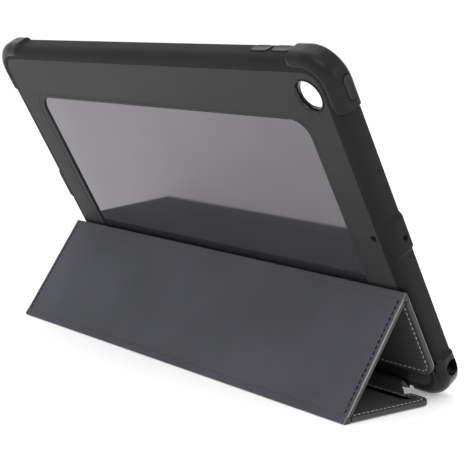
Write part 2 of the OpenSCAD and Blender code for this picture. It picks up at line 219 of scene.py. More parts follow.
backRubber = mouldedRubber("backRubber", (0.022, 0.022, 0.023), (0.03, 0.03, 0.031), 0.58, 0.05,
                           Specular_IOR_Level=0.25)
sideRubber = mouldedRubber("sideRubber", (0.009, 0.009, 0.009), (0.013, 0.013, 0.013), 0.6, 0.06, 1900,
                           Specular_IOR_Level=0.13)
bumperRubber = mouldedRubber("bumperRubber", (0.006, 0.0055, 0.005), (0.009, 0.008, 0.0075), 0.24, 0.06, 3000,
                             Specular_IOR_Level=0.2)
buttonRubber = mouldedRubber("buttonRubber", (0.004, 0.004, 0.004), (0.006, 0.006, 0.006), 0.2, 0.04,
                             Specular_IOR_Level=0.3)
ringGloss = mouldedRubber("ringGloss", (0.008, 0.008, 0.007), (0.014, 0.013, 0.013), 0.2, 0.04, 1800,
                          Specular_IOR_Level=0.4)
windowSmoke = smokedWindow("windowSmoke")
liningCloth = wovenLining("liningCloth", (0.034, 0.035, 0.041), (0.064, 0.065, 0.075))
coverLeather = grainedLeather("coverLeather", (0.046, 0.046, 0.047), (0.064, 0.064, 0.065), 0.5)
leatherEdge = grainedLeather("leatherEdge", (0.03, 0.03, 0.031), (0.044, 0.044, 0.045), 0.65)
# light grey for the lining's rounded edges and the fold end rims: a painted edge highlight laid over a cut edge
# taken as lighter than the cloth
cutEdgeAndHighlight = grainedLeather("cutEdgeAndHighlight", (0.15, 0.15, 0.152), (0.24, 0.24, 0.24), 0.62)
darkThread = twistedThread("darkThread", (0.002, 0.002, 0.002), (0.006, 0.006, 0.007), 0.08, 0.0)
paleThread = twistedThread("paleThread", (0.22, 0.22, 0.22), (0.44, 0.44, 0.43), 0.4, 0.2)
stiffBoard = greyBoard("stiffBoard")
magnetPlate = brushedDisc("magnetPlate")
print("finishes made")


# mesh helpers
def makePiece(name, verts, faces, mats, faceMats=None, sharp=35):
    mesh = bpy.data.meshes.new(name)
    mesh.from_pydata([tuple(v) for v in verts], [], faces)
    for m in mats:
        mesh.materials.append(m)
    if faceMats:
        mesh.polygons.foreach_set("material_index", faceMats)
    bm = bmesh.new()
    bm.from_mesh(mesh)
    bmesh.ops.remove_doubles(bm, verts=bm.verts, dist=1e-6)
    bmesh.ops.dissolve_degenerate(bm, dist=1e-7, edges=bm.edges)
    bmesh.ops.recalc_face_normals(bm, faces=bm.faces)
    bm.to_mesh(mesh)
    bm.free()
    mesh.shade_smooth()
    mesh.set_sharp_from_angle(angle=math.radians(sharp))
    piece = bpy.data.objects.new(name, mesh)
    scene.collection.objects.link(piece)
    return piece


def ringFaces(count, rings, closed):   # quads between rings of the same count
    faces = []
    for i in range(rings if closed else rings - 1):
        a, b = i * count, (i + 1) % rings * count
        faces += [(a + k, a + (k + 1) % count, b + (k + 1) % count, b + k) for k in range(count)]
    return faces


def endCaps(count, rings):   # one face over the first ring and one over the last
    return [tuple(range(count)), tuple(range((rings - 1) * count, rings * count))]


def outline(halfX, halfY, r, cornerSteps=10, xSteps=24, ySteps=16):
    pts = []
    spots = [(1, -1, -90), (1, 1, 0), (-1, 1, 90), (-1, -1, 180)]

    def at(i, a):
        sx, sy, start = spots[i % 4]
        a = math.radians(start + a)
        return (sx * (halfX - r) + r * math.cos(a), sy * (halfY - r) + r * math.sin(a))
    for i in range(4):
        pts += [at(i, 90 * k / cornerSteps) for k in range(cornerSteps + 1)]
        p, q = pts[-1], at(i + 1, 0)
        steps = xSteps if i % 2 else ySteps
        pts += [(p[0] + (q[0] - p[0]) * k / steps, p[1] + (q[1] - p[1]) * k / steps) for k in range(1, steps)]
    return pts


def cutAway(piece, cutters):
    for c in cutters:
        m = piece.modifiers.new("cut", "BOOLEAN")
        m.operation, m.solver, m.object = "DIFFERENCE", "EXACT", c
    bpy.context.view_layer.update()
    done = bpy.data.meshes.new_from_object(piece.evaluated_get(bpy.context.evaluated_depsgraph_get()))
    piece.modifiers.clear()
    old, piece.data = piece.data, done
    done.name = piece.name
    bpy.data.meshes.remove(old)
    for c in cutters:
        bpy.data.objects.remove(c)
    done.shade_smooth()
    done.set_sharp_from_angle(angle=math.radians(35))


def slotCutter(centre, outward, along, length, width, depth, steps=20):
    # a bar with round ends, along one way, standing through the wall the other way
    side = outward.cross(along).normalized()
    half, r = (length - width) / 2 * mm, width / 2 * mm
    loop = []
    for sign in (1, -1):
        for k in range(steps + 1):
            a = math.pi * (k / steps - 0.5)
            loop.append(along * (sign * (half + r * math.cos(a))) + side * (sign * r * math.sin(a)))
    verts = [centre + outward * (s * depth / 2 * mm) + p for s in (-1, 1) for p in loop]
    n = len(loop)
    faces = ringFaces(n, 2, False) + endCaps(n, 2)
    return makePiece("cutter", verts, faces, [])


# frame of the case
window = dict(length=209.0, height=122.0, corner=9.0, lap=4.0, seat=1.0, plate=1.6, gap=0.15)
camera = dict(x=-113.0, v=165.0, hole=8.15, ring=8.0, bore=6.7)
sockets = dict(headphoneV=14.8, headphone=8.0, micV=89.5, mic=2.0, backMicX=-119.2, backMicV=93.0,
               micRim=3.2, headphoneRim=9.4, port=14.0, portHeight=6.4, speaker=26.0, speakerHeight=3.4,
               speakerV=36.0, height=7.0)
button = dict(length=11.4, width=5.0, w=8.0, volumeX=(-85.9, -99.0), powerV=165.5, groove=0.3, rise=0.5)
grooveSize = (button["length"] + 2 * button["groove"], button["width"] + 2 * button["groove"])
midV = case["height"] / 2


def caseRing(halfX, halfV, r, w):
    return [onCase(x, v + midV, w) for x, v in outline(halfX, halfV, r)]


def buildFrame():
    a, b, r = case["length"] / 2, case["height"] / 2, case["corner"]
    ba, bb, br = case["bayLength"] / 2, case["bayHeight"] / 2, case["corner"] - 3
    wa, wb, wr, lap = window["length"] / 2, window["height"] / 2, window["corner"], window["lap"]
    edge, rb, rf, t = 0.6, case["backRound"], case["frontRound"], case["depth"]
    rings = [(wa, wb, wr, window["seat"]), (wa, wb, wr, edge)]
    for k in range(1, 5):   # soft edge of the window opening
        q = math.radians(22.5 * k)
        rings.append((wa + edge * (1 - math.cos(q)), wb + edge * (1 - math.cos(q)),
                      wr + edge * (1 - math.cos(q)), edge * (1 - math.sin(q))))
    for d, w in ((1.6, 0), (1.8, 0.03), (1.95, 0.2), (4.0, 0.2), (4.15, 0.03), (4.35, 0)):   # groove round it
        rings.append((wa + d, wb + d, wr + d, w))
    rings.append((a - case["sideZone"], b - case["sideZone"], r - case["sideZone"], 0))
    firstSide = len(rings) - 1
    for k in range(9):
        q = math.radians(11.25 * k)
        rings.append((a - rb * (1 - math.sin(q)), b - rb * (1 - math.sin(q)), r - rb * (1 - math.sin(q)),
                      rb * (1 - math.cos(q))))
    for k in range(7):
        q = math.radians(15 * k)
        rings.append((a - rf * (1 - math.cos(q)), b - rf * (1 - math.cos(q)), r - rf * (1 - math.cos(q)),
                      t - rf * (1 - math.sin(q))))
    lastSide = len(rings) - 3
    reach, soft = case["lipReach"], 0.5
    for k in range(4):   # rounded inner edge of the lip
        q = math.radians(30 * k)
        d = soft * (1 - math.sin(q))
        rings.append((ba - reach + d, bb - reach + d, br - reach + d, t - soft * (1 - math.cos(q))))
    rings += [(ba - reach, bb - reach, br - reach, t - case["lip"]), (ba, bb, br, t - case["lip"]),
              (ba, bb, br, case["back"]), (wa + lap, wb + lap, wr + lap, case["back"]),
              (wa + lap, wb + lap, wr + lap, window["seat"])]
    verts = [p for ring in rings for p in caseRing(*ring)]
    count = len(verts) // len(rings)
    dark = [firstSide <= i < lastSide or i >= len(rings) - 4 for i in range(len(rings))]
    faceMats = [0 if dark[i // count] else 1 for i in range(count * len(rings))]
    faces = ringFaces(count, len(rings), True)
    piece = makePiece("caseFrame", verts, faces, [sideRubber, backRubber], faceMats)
    x, up, out = Vector((1, 0, 0)), caseUp, caseOut
    cuts = [slotCutter(onCase(camera["x"], camera["v"], 1), out, x, 2 * camera["hole"] + 0.01,
                       2 * camera["hole"], 8, 32),
            slotCutter(onCase(sockets["backMicX"], sockets["backMicV"], 1), out, x, sockets["mic"] + 0.01,
                       sockets["mic"], 8)]
    cuts.append(slotCutter(onCase(sockets["backMicX"], sockets["backMicV"], 0), out, x,
                           sockets["micRim"] + 0.01, sockets["micRim"], 0.7))
    cuts += sideCutters(-1, x, up) + sideCutters(1, x, up)
    for vx in button["volumeX"]:
        cuts.append(slotCutter(onCase(vx, case["height"] - 1, button["w"]), up, x, *grooveSize, 8))
    cutAway(piece, cuts)
    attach(piece, "shell")
    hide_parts("bumper_frame", "side_walls", "screen_lip")


def sideCutters(sx, x, up):
    half = case["length"] / 2
    if sx < 0:
        return [slotCutter(onCase(-half, sockets["headphoneV"], button["w"]), x, up,
                           sockets["headphone"] + 0.01, sockets["headphone"], 12, 28),
                slotCutter(onCase(-half, sockets["micV"], button["w"]), x, up, sockets["mic"] + 0.01,
                           sockets["mic"], 12),
                slotCutter(onCase(-half, button["powerV"], button["w"]), x, up, *grooveSize, 9)]
    made = [slotCutter(onCase(half, midV, sockets["height"]), x, up, sockets["port"],
                       sockets["portHeight"], 12)]
    for s in (-1, 1):
        made.append(slotCutter(onCase(half, midV + s * sockets["speakerV"], sockets["height"]), x, up,
                               sockets["speaker"], sockets["speakerHeight"], 12))
    return made


buildFrame()
print("case frame made")

# corner bumpers and side bosses, swept along the outline with soft borders
bumper = dict(lap=4.6, reach=23.4, drop=27.8, proud=1.6, proudBack=0.3, ramp=1.5, corner=6.0, sink=0.16)
boss = dict(length=21.5, lap=4.7, proud=1.6, proudBack=0.0, ramp=3.2, corner=5.0, sink=0.16)


def bumperSection(opts):
    # pairs of points (out from the case's side, from back to screen): on the frame, and standing proud
    lap, pr, pb = opts["lap"], opts["proud"], opts["proudBack"]
    rb, rf, t, sink = case["backRound"], case["frontRound"], case["depth"], opts["sink"]
    rB, rF = rb + pb, rf + 0.5
    low, high = [], []
    a0 = math.asin((rb - lap) / rb)
    b0 = math.asin((rB - lap - pr) / rB)
    for k in range(17):
        f = k / 16
        a, b = a0 + (math.pi / 2 - a0) * f, b0 + (math.pi / 2 - b0) * f
        low.append((-rb + (rb - sink) * math.sin(a), rb - (rb - sink) * math.cos(a)))
        high.append((pr - rB + rB * math.sin(b), rb - rB * math.cos(b)))
    for k in range(1, 5):
        f = k / 5
        low.append((-sink, rb + (t - rf - rb) * f))
        high.append((pr, rb + (t - rF - rb) * f))
    end = math.pi / 2 if lap > rf else math.acos((rf - lap) / rf)
    endHigh = math.pi / 2 if lap > rF - pr else math.acos((rF - pr - lap) / rF)
    for k in range(11):
        f = k / 10
        low.append((-rf + (rf - sink) * math.cos(end * f), t - rf + (rf - sink) * math.sin(end * f)))
        high.append((pr - rF + rF * math.cos(endHigh * f), t - rF + rF * math.sin(endHigh * f)))
    if lap > rf:
        low.append((-lap, t - sink))
        high.append((-lap, t + 0.02))
    inner = [(-lap - 0.2, t - 1.2), (-2.0, t - 2.6), (-2.0, rb), (-lap - 0.2, 2.2)]
    return low, high, inner


def sweepBumper(name, node, path, opts, finish, cutters=()):
    low, high, inner = bumperSection(opts)
    # distance of every section point from the nearer long border
    run = [0.0]
    for p, q in zip(high, high[1:]):
        run.append(run[-1] + math.dist(p, q))
    border = [min(d, run[-1] - d) for d in run]
    total = path[-1][2]
    verts, rings = [], 0
    for at, normal, s in path:
        e = min(s, total - s)
        for (lo, lw), (ho, hw), q in zip(low, high, border):
            c = opts["corner"]
            d = c - math.hypot(c - e, c - q) if e < c and q < c else min(e, q)
            f = smooth(d / opts["ramp"])
            o, w = lo + (ho - lo) * f, lw + (hw - lw) * f
            verts.append(onCase(at[0] + normal[0] * o, at[1] + normal[1] * o, w))
        for o, w in inner:
            verts.append(onCase(at[0] + normal[0] * o, at[1] + normal[1] * o, w))
        rings += 1
    count = len(low) + len(inner)
    faces = ringFaces(count, rings, False)
    faces += endCaps(count, rings)
    piece = makePiece(name, verts, faces, [finish], sharp=50)
    if cutters:
        cutAway(piece, cutters)
    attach(piece, "shell")
    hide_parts(node)


def cornerPath(sx, sy):
    a, h, r = case["length"] / 2, case["height"], case["corner"]
    cx, cv = sx * (a - r), (h - r if sy > 0 else r)
    drop = bumper["drop"] if sy > 0 else bumper["reach"]
    pts = []
    reach = bumper["reach"] - r
    n = 14
    for k in range(n):   # along the long side, closer together near the end
        f = (k / n) ** 1.4
        pts.append(((cx - sx * reach * (1 - f), h if sy > 0 else 0.0), (0, sy)))
    for k in range(17):
        q = math.radians(90 * k / 16)
        normal = (sx * math.sin(q), sy * math.cos(q))
        pts.append(((cx + r * normal[0], cv + r * normal[1]), normal))
    for k in range(1, n + 1):
        f = 1 - (1 - k / n) ** 1.4
        pts.append(((sx * a, cv - sy * (drop - r) * f), (sx, 0)))
    return withRun(pts)


def withRun(pts):
    path, s = [], 0.0
    for i, (at, normal) in enumerate(pts):
        s += math.dist(at, pts[i - 1][0]) if i else 0.0
        path.append((at, normal, s))
    return path


def sideCutter(sx, index):   # one of a short side's cutters, without the others
    cuts = sideCutters(sx, Vector((1, 0, 0)), caseUp)
    for i, c in enumerate(cuts):
        if i != index:
            bpy.data.objects.remove(c)
    return cuts[index]


def rimCutter(v, rim, depth, proud, steps=20):   # shallow rim round a hole in the near side
    place = onCase(-case["length"] / 2 - proud, v, button["w"])
    return slotCutter(place, Vector((1, 0, 0)), caseUp, rim + 0.01, rim, depth, steps)


headphoneCut, micCut, powerCut = 0, 1, 2   # order of the near side's cutters
portCut = 0   # first of the far side's
for label, sx in (("near", -1), ("far", 1)):
    for level, sy in (("top", 1), ("bottom", -1)):
        cuts = []
        if sx < 0:   # the headphone opening, or the power button's groove
            cuts = [sideCutter(sx, headphoneCut if sy < 0 else powerCut)]
            if sy < 0:
                cuts.append(rimCutter(sockets["headphoneV"], sockets["headphoneRim"], 1.0,
                                      bumper["proud"], 28))
        sweepBumper(f"cornerBumper_{level}_{label}", f"corner_bumper_{level}_{label}", cornerPath(sx, sy),
                    bumper, bumperRubber, cuts)
    half = boss["length"] / 2
    steps = [((sx * case["length"] / 2, midV - half + boss["length"] * k / 40), (sx, 0)) for k in range(41)]
    cuts = [sideCutter(sx, micCut if sx < 0 else portCut)]
    if sx < 0:
        cuts.append(rimCutter(sockets["micV"], sockets["micRim"], 0.8, boss["proud"]))
    sweepBumper(f"sideBoss_{label}", f"side_boss_{label}", withRun(steps), boss, sideRubber, cuts)
print("bumpers made")


# window plate, camera surround, buttons
def buildWindow():
    a = window["length"] / 2 + window["lap"] - window["gap"]
    b = window["height"] / 2 + window["lap"] - window["gap"]
    r, z, t = window["corner"] + window["lap"] - window["gap"], window["seat"], window["plate"]
    soft = 0.15   # broken edges
    rings = [(a - 12, b - 12, 4, z), (a - 2, b - 2, r - 2, z), (a - soft, b - soft, r - soft, z),
             (a, b, r, z + soft), (a, b, r, z + t - soft), (a - soft, b - soft, r - soft, z + t)]
    verts = [p for ring in rings for p in caseRing(*ring)]
    n = len(verts) // len(rings)
    faces = ringFaces(n, len(rings), False) + endCaps(n, len(rings))
    piece = makePiece("backWindow", verts, faces, [windowSmoke])
    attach(piece, "shell")
    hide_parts("back_window")


def buildCameraRing():
    outer, bore, back = camera["ring"], camera["bore"], case["back"]
    profile = [(outer, back), (outer, -0.2), (outer - 0.06, -0.38), (outer - 0.2, -0.48),
               (outer - 0.36, -0.46), (outer - 0.5, -0.34), (bore + 0.25, 0.8), (bore + 0.05, 1.25),
               (bore, 1.5), (bore, back)]
    steps, verts = 72, []
    for k in range(steps):
        q = 2 * math.pi * k / steps
        verts += [onCase(camera["x"] + r * math.cos(q), camera["v"] + r * math.sin(q), w) for r, w in profile]
    piece = makePiece("cameraSurround", verts, ringFaces(len(profile), steps, True), [ringGloss], sharp=45)
    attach(piece, "shell")
    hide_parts("camera_surround")


def buildButton(name, node, centre, outward, along, depth, rise):
    side = outward.cross(along).normalized()
    half, r, soft = (button["length"] - button["width"]) / 2, button["width"] / 2, 0.45
    levels = [(-depth, 0), (rise - soft, 0)]
    for k in range(1, 5):
        q = math.radians(22.5 * k)
        levels.append((rise - soft * (1 - math.sin(q)), soft * (1 - math.cos(q))))
    levels += [(rise, 1.0), (rise - 0.12, 1.3), (rise - 0.12, 1.9)]   # shallow dish in the cap
    verts = []
    for z, inset in levels:
        for sign in (1, -1):
            for k in range(13):
                q = math.pi * (k / 12 - 0.5)
                rr = r - inset
                verts.append(centre + outward * (z * mm) + along * (sign * (half + rr * math.cos(q)) * mm)
                             + side * (sign * rr * math.sin(q) * mm))
    n = len(verts) // len(levels)
    faces = ringFaces(n, len(levels), False)
    faces += endCaps(n, len(levels))
    piece = makePiece(name, verts, faces, [buttonRubber])
    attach(piece, node)
    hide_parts(node)


buildWindow()
buildCameraRing()
buildButton("powerButton", "power_button", onCase(-case["length"] / 2, button["powerV"], button["w"]),
            Vector((-1, 0, 0)), caseUp, 2.4, bumper["proud"] + 0.2)
for side, vx in zip(("up", "down"), button["volumeX"]):
    buildButton(f"volumeButton_{side}", f"volume_{side}_button", onCase(vx, case["height"], button["w"]),
                caseUp, Vector((1, 0, 0)), 3.4, button["rise"])
print("window, camera surround and buttons made")

# cover panels
cover = dict(length=258.7, half=1.3, lining=0.6, corner=7.0, leatherGap=dict(foot=3.0, ridge=2.6, rear=1.8),
             liningGap=dict(foot=1.6, ridge=1.6, rear=1.8), basePitch=54.4, middlePitch=61.1, endLength=46.4,
             foldSide=0.08, stitchInset=2.4, ear=4.6, earX=115.5, earRound=2.5)
footToRidge = ridgeAxis - footAxis
middleAngle = math.atan2(footToRidge.z, footToRidge.y)
endAngle = math.atan2(-caseUp.z, -caseUp.y)
panels = {
    "base": dict(axis=rearAxis, angle=0.0, ends=("rear", "foot"), pitch=cover["basePitch"],
                 free=(True, False)),
    "middle": dict(axis=footAxis, angle=middleAngle, ends=("foot", "ridge"), pitch=cover["middlePitch"],
                   free=(False, False)),
    "end": dict(axis=ridgeAxis, angle=endAngle, ends=("ridge", None), pitch=cover["endLength"],
                free=(False, True)),
}


def quarter(cx, cy, r, start, turn=90, steps=10):
    angles = [math.radians(start + turn * k / steps) for k in range(steps + 1)]
    return [(cx + r * math.cos(q), cy + r * math.sin(q)) for q in angles]


def between(p, q, steps):   # the points strictly between two ends
    return [(p[0] + (q[0] - p[0]) * k / steps, p[1] + (q[1] - p[1]) * k / steps) for k in range(1, steps)]


def nearSide(lo, halfX, r, inset, ear):
    # the right half of a free near side, from the middle out and round the corner
    if not ear:
        return [(0, lo)] + between((0, lo), (halfX - r, lo), 30) + quarter(halfX - r, lo + r, r, -90)
    inner = cover["earX"] + inset
    hollow = cover["earRound"] * 0.6 + inset * 0.5
    knob = max(cover["earRound"] - inset, 0.4)
    tip = lo - ear
    pts = [(0, lo)] + between((0, lo), (inner - hollow, lo), 30)
    pts += quarter(inner - hollow, lo - hollow, hollow, 90, -90, 6)
    pts += quarter(inner + knob, tip + knob, knob, 180, 90, 8)
    return pts + between(pts[-1], (halfX - r, tip), 4) + quarter(halfX - r, tip + r, r, -90)


def panelOutline(y0, y1, free, inset, ear=0):
    # x inset all the way; a fold side moves only a little, so that it stays straight
    halfX = cover["length"] / 2 - inset
    lo = y0 + inset * (1 if free[0] else cover["foldSide"])
    hi = y1 - inset * (1 if free[1] else cover["foldSide"])
    rLo = max(cover["corner"] - inset, 0.4) if free[0] else 0.05
    rHi = max(cover["corner"] - inset, 0.4) if free[1] else 0.05
    near = nearSide(lo, halfX, rLo, inset, ear)
    far = [(x, hi + lo - y) for x, y in nearSide(lo, halfX, rHi, inset, 0)][::-1]
    right = near + between(near[-1], far[0], 14) + far
    return right + [(-x, y) for x, y in right[::-1][1:-1]]


def buildPanelLayer(label, layer):
    p = panels[label]
    leather = layer == "leather"
    gaps = cover["leatherGap"] if leather else cover["liningGap"]
    y0 = gaps[p["ends"][0]]
    y1 = p["pitch"] - (gaps[p["ends"][1]] if p["ends"][1] else 0)
    h, mid = cover["half"], -cover["half"] + cover["lining"]
    if leather:
        rings = [(1.0, mid), (0.0, mid), (0.0, h - 0.7), (0.06, h - 0.4), (0.22, h - 0.16), (0.5, h - 0.03),
                 (0.9, h), (1.7, h), (2.05, h - 0.14), (2.75, h - 0.14), (3.1, h), (4.8, h - 0.03),
                 (6.4, h - 0.03), (8.2, h)]
        mats, border = [coverLeather, leatherEdge], (1, 5)
    else:
        rings = [(1.0, mid), (0.0, mid), (0.02, -h + 0.35), (0.14, -h + 0.14), (0.4, -h + 0.02), (0.8, -h),
                 (1.65, -h), (1.95, -h + 0.22), (2.85, -h + 0.22), (3.15, -h), (5.2, -h + 0.02), (7.2, -h)]
        # the lining's side edge and its rounding get the light grey of the painted edge highlight
        mats, border = [liningCloth, cutEdgeAndHighlight], (1, 4)
    verts = []
    for inset, n in rings:
        loop = panelOutline(y0, y1, p["free"], inset, cover["ear"] if p["free"][0] else 0)
        verts += [onFold(p["axis"], p["angle"], x, d, n) for x, d in loop]
    count = len(verts) // len(rings)
    faces = ringFaces(count, len(rings), False)
    faceMats = [1 if border[0] <= i // count < border[1] else 0 for i in range(len(faces))]
    faces += endCaps(count, len(rings))
    faceMats += [0, 0]
    piece = makePiece(f"{label}{layer.capitalize()}", verts, faces, mats, faceMats)
    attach(piece, f"{label}_panel")
    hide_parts(f"{label}_{layer}")


for label in panels:
    for layer in ("leather", "lining"):
        buildPanelLayer(label, layer)
print("cover panels made")


# folds: lining outside, creased leather inside, shaped round their joint in this pose
fold = dict(sink=0.1, arm=2.2, step=1.75, flush=1.6, soft=0.6, bend=0.35, rim=0.45, inset=0.15, hinge=0.2)


def buildFold(name, node, axis, toA, toB, inner):
    # toA and toB point from the fold along its two panels; inner is where the leather starts
    middle = (toA + toB).normalized()
    across = (toB - toA).normalized()
    h = math.acos(max(-1.0, min(1.0, toA.dot(middle))))
    t = cover["half"]

    def at(d, n, sign):   # along the panel and towards the leather side, for either panel
        along = middle * math.cos(h) + across * (sign * math.sin(h))
        normal = middle * math.sin(h) - across * (sign * math.cos(h))
        return along * d + normal * n
    sink, arm, soft = fold["sink"], fold["arm"], fold["soft"]   # the arms end just inside the panels
    apex = middle * (-t / math.sin(h))   # where the two outer faces would meet
    bend = [at(-fold["bend"] * t / math.tan(h), -t, sign) for sign in (-1, 1)]
    arc = []
    for k in range(17):
        f = k / 16
        arc.append(bend[0] * (1 - f) ** 2 + apex * (2 * f * (1 - f)) + bend[1] * f * f)
    leg = [(arm, -t + sink), (fold["step"], -t + sink), (fold["flush"], -t), (soft, -t)]
    outer = [at(d, n, -1) for d, n in leg] + arc + [at(d, n, 1) for d, n in leg[::-1]]
    crease = [at(arm, t - 0.75, 1), at(inner - soft, t - 0.35, 1)]
    tip = middle * (t * 0.96)
    back = [at(inner - soft, t - 0.35, -1), at(arm, t - 0.75, -1)]
    section = outer + crease + [tip] + back
    end = cover["length"] / 2 - fold["inset"]
    body = end - fold["rim"]
    stations = [-end, -body] + [body * (2 * k / 44 - 1) for k in range(1, 44)] + [body, end]
    verts = []
    for x in stations:
        verts += [axis + Vector((x, 0, 0)) * mm + p * mm for p in section]
    n, last = len(section), len(stations) - 1
    faces = ringFaces(n, last + 1, False)
    outside = len(outer) - 1
    # outside faces at the fold's two end rims get the light grey of the painted edge highlight
    faceMats = [1 if i % n >= outside else 3 if i // n in (0, last - 1) else 0 for i in range(len(faces))]
    faces += endCaps(n, last + 1)
    faceMats += [2, 2]
    mats = [liningCloth, coverLeather, leatherEdge, cutEdgeAndHighlight]
    piece = makePiece(name, verts, faces, mats, faceMats, sharp=40)
    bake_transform(piece)
    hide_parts(node)


def direction(angle):
    return Vector((0, math.cos(angle), math.sin(angle)))


buildFold("footFold", "foot_fold", footAxis, -direction(0), direction(middleAngle),
          cover["leatherGap"]["foot"])
buildFold("ridgeFold", "ridge_fold", ridgeAxis, -direction(middleAngle), direction(endAngle),
          cover["leatherGap"]["ridge"])

# spine strip: from the seam under the case, over its arch, down to the base panel
spine = dict(thick=1.2, halfSeam=104.5, halfRear=113.5, lines=60)


def spineCurve():
    # knee of the arch, in front of the seam and above it
    knee = Vector((0, seamAxis.y + 4.596 * mm, seamAxis.z + 3.857 * mm))
    ctrl = [seamAxis, seamAxis.lerp(knee, 0.62), knee + Vector((0, -0.3, 0.15)) * mm,
            knee.lerp(rearAxis, 0.3) + Vector((0, 0, 0.75)) * mm,
            knee.lerp(rearAxis, 0.68) + Vector((0, 0, 0.1)) * mm,
            rearAxis]
    # Catmull-Rom through the control points
    pts = []
    line = [ctrl[0] * 2 - ctrl[1]] + ctrl + [rearAxis + Vector((0, 2.6, 0)) * mm]
    for i in range(1, len(line) - 2):
        a, b, c, d = line[i - 1:i + 3]
        for k in range(5):
            t = k / 5
            pts.append(0.5 * ((2 * b) + (c - a) * t + (2 * a - 5 * b + 4 * c - d) * t * t
                              + (3 * b - a - 3 * c + d) * t * t * t))
    pts += [rearAxis, rearAxis + Vector((0, 1.4, 0)) * mm, rearAxis + Vector((0, 3.2, 0)) * mm]
    return pts


def buildSpine():
    pts = spineCurve()
    total = sum((b - a).length for a, b in zip(pts, pts[1:]))
    section, s = [], 0.0
    for i, p in enumerate(pts):
        s += (p - pts[i - 1]).length if i else 0
        along = (pts[min(i + 1, len(pts) - 1)] - pts[max(i - 1, 0)]).normalized()
        normal = Vector((0, -along.z, along.y))
        f = s / total
        section.append((p, normal, f))
    verts, lines = [], spine["lines"]
    count = 2 * len(section)
    for k in range(lines + 1):
        u = 2 * k / lines - 1
        ring = []
        for sign, run in ((1, section), (-1, section[::-1])):
            for p, normal, f in run:
                half = spine["halfSeam"] + (spine["halfRear"] - spine["halfSeam"]) * smooth((f - 0.35) / 0.5)
                rim = smooth((1 - abs(u)) * half / 0.9)   # rounded side edges
                thin = spine["thick"] * 0.5
                thick = (thin + (cover["half"] - 0.12 - thin) * smooth((f - 0.62) / 0.3))
                sagging = 0.12 * math.sin(u * 9 + f * 3) * smooth(f * 5) * smooth((1 - f) * 5)
                ring.append(p + Vector((u * half, 0, 0)) * mm
                            + normal * ((sign * thick * (0.35 + 0.65 * rim) + sagging) * mm))
        verts += ring
    faces = ringFaces(count, lines + 1, False)
    faces += endCaps(count, lines + 1)
    piece = makePiece("spineStrip", verts, faces, [coverLeather], sharp=50)
    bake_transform(piece)
    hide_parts("spine_strip", "spine_fold")


def buildSeamPiping():
    # the strip's edge bonded into the case, ending in a round piping on the seam's axis
    root = onCase(0, case["backRound"], case["backRound"])
    inward = (root - seamAxis)
    inward.x = 0
    inward.normalize()
    side = Vector((0, -inward.z, inward.y))
    profile = []
    r = 0.78
    for k in range(21):
        q = math.radians(40 + 280 * k / 20)
        profile.append(inward * (r * math.cos(q)) + side * (r * math.sin(q)))
    profile += [inward * 1.6 - side * 0.5, inward * 3.2 - side * 0.45, inward * 3.2 + side * 0.45,
                inward * 1.6 + side * 0.5]
    lines, verts = 60, []
    for k in range(lines + 1):
        u = 2 * k / lines - 1
        x = spine["halfSeam"] * u
        rim = 0.55 + 0.45 * smooth((1 - abs(u)) * spine["halfSeam"] / 0.8)
        verts += [seamAxis + Vector((x, 0, 0)) * mm + p * (rim * mm) for p in profile]
    n = len(profile)
    faces = ringFaces(n, lines + 1, False) + endCaps(n, lines + 1)
    piece = makePiece("seamPiping", verts, faces, [coverLeather], sharp=50)
    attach(piece, "shell")
    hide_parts("seam_strip")


buildSpine()
buildSeamPiping()
print("folds and spine made")


# stitches, laid along their lines by Geometry Nodes
stitches = dict(pale=dict(Pitch=2.8, Length=2.25, Width=0.72, Height=0.34),
                dark=dict(Pitch=2.8, Length=2.0, Width=0.8, Height=0.3))


